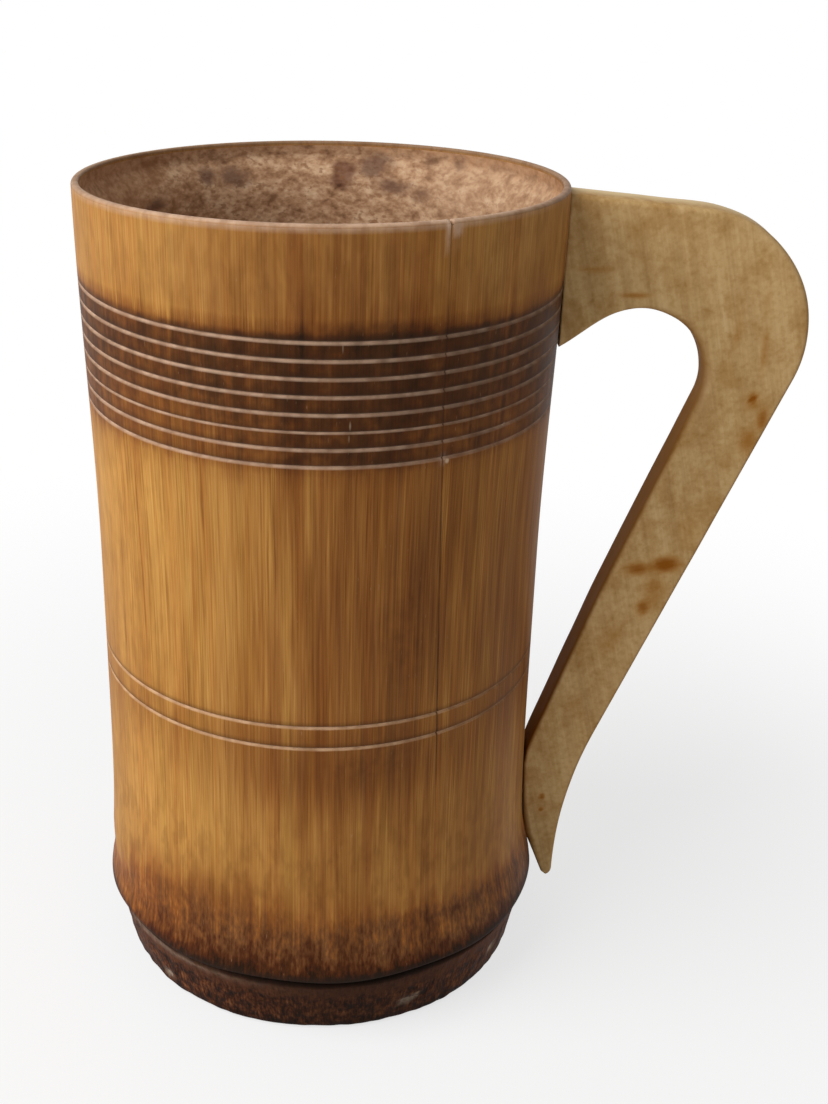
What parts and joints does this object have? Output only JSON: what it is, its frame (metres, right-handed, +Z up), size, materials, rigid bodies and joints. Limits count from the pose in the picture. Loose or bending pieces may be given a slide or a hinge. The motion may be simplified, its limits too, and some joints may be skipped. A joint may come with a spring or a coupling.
{
  "type": "bamboo cup",
  "caption": "Tall bamboo cup turned from a culm segment, with scorched bands, turned lines, a node floor and a flat sawn wooden handle pinned and glued to its side, for drinks.",
  "frame": {"origin": "on the culm's axis, in the plane of the foot ring that the cup stands on", "axes": "+Z up along the culm, +X from the culm's axis towards the handle"},
  "size_m": [0.1295, 0.0856, 0.1537],
  "materials": {
    "culm_bamboo": "turned, scorched and oiled",
    "handle_wood": "sawn and sanded",
    "dowel_wood": "plain",
    "joint_glue": "dried wood glue"
  },
  "bodies": {
    "root": {"culm_body": "culm_bamboo", "handle": "handle_wood", "upper_dowel_high": "dowel_wood", "upper_dowel_low": "dowel_wood", "lower_dowel": "dowel_wood", "upper_glue_bed": "joint_glue", "lower_glue_bed": "joint_glue"}
  },
  "joints": []
}
